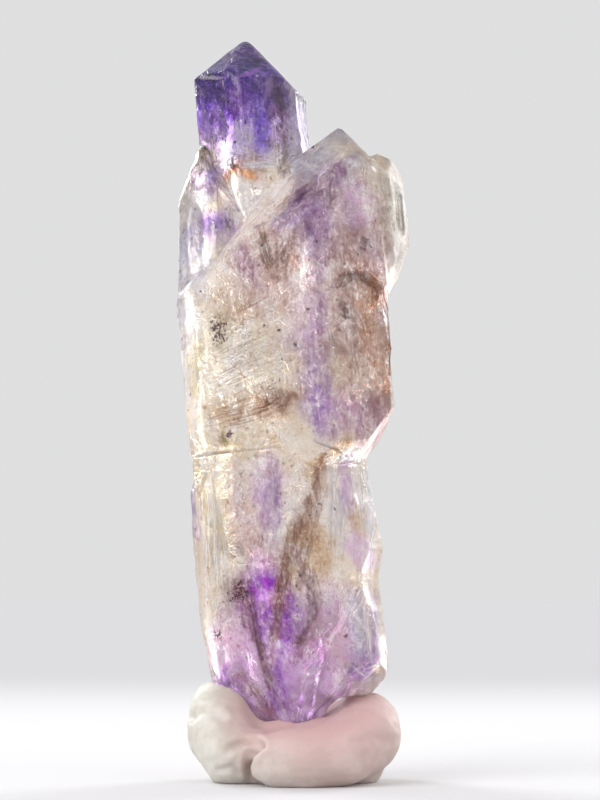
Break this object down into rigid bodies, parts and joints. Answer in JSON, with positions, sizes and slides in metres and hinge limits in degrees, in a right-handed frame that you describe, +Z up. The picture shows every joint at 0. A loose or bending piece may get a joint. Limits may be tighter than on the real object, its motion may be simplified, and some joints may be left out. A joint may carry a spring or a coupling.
{
  "type": "skeletal quartz crystal specimen",
  "caption": "Skeletal amethyst crystal, a parallel growth of prisms with ledges and stepped pits, standing on its point in a lump of display putty.",
  "frame": {"origin": "middle of the footprint of the whole specimen, on the surface that the putty stands on", "axes": "+Z up, -Y towards the front as the specimen shows best, +X to the right seen from the front"},
  "size_m": [0.0202, 0.0174, 0.0644],
  "materials": {
    "amethyst_quartz": "clear quartz with violet, smoky and cream zones, natural growth faces",
    "white_putty": "matte off-white mineral putty with finger folds"
  },
  "bodies": {
    "root": {"quartz_crystal": "amethyst_quartz", "display_putty": "white_putty"}
  },
  "joints": []
}
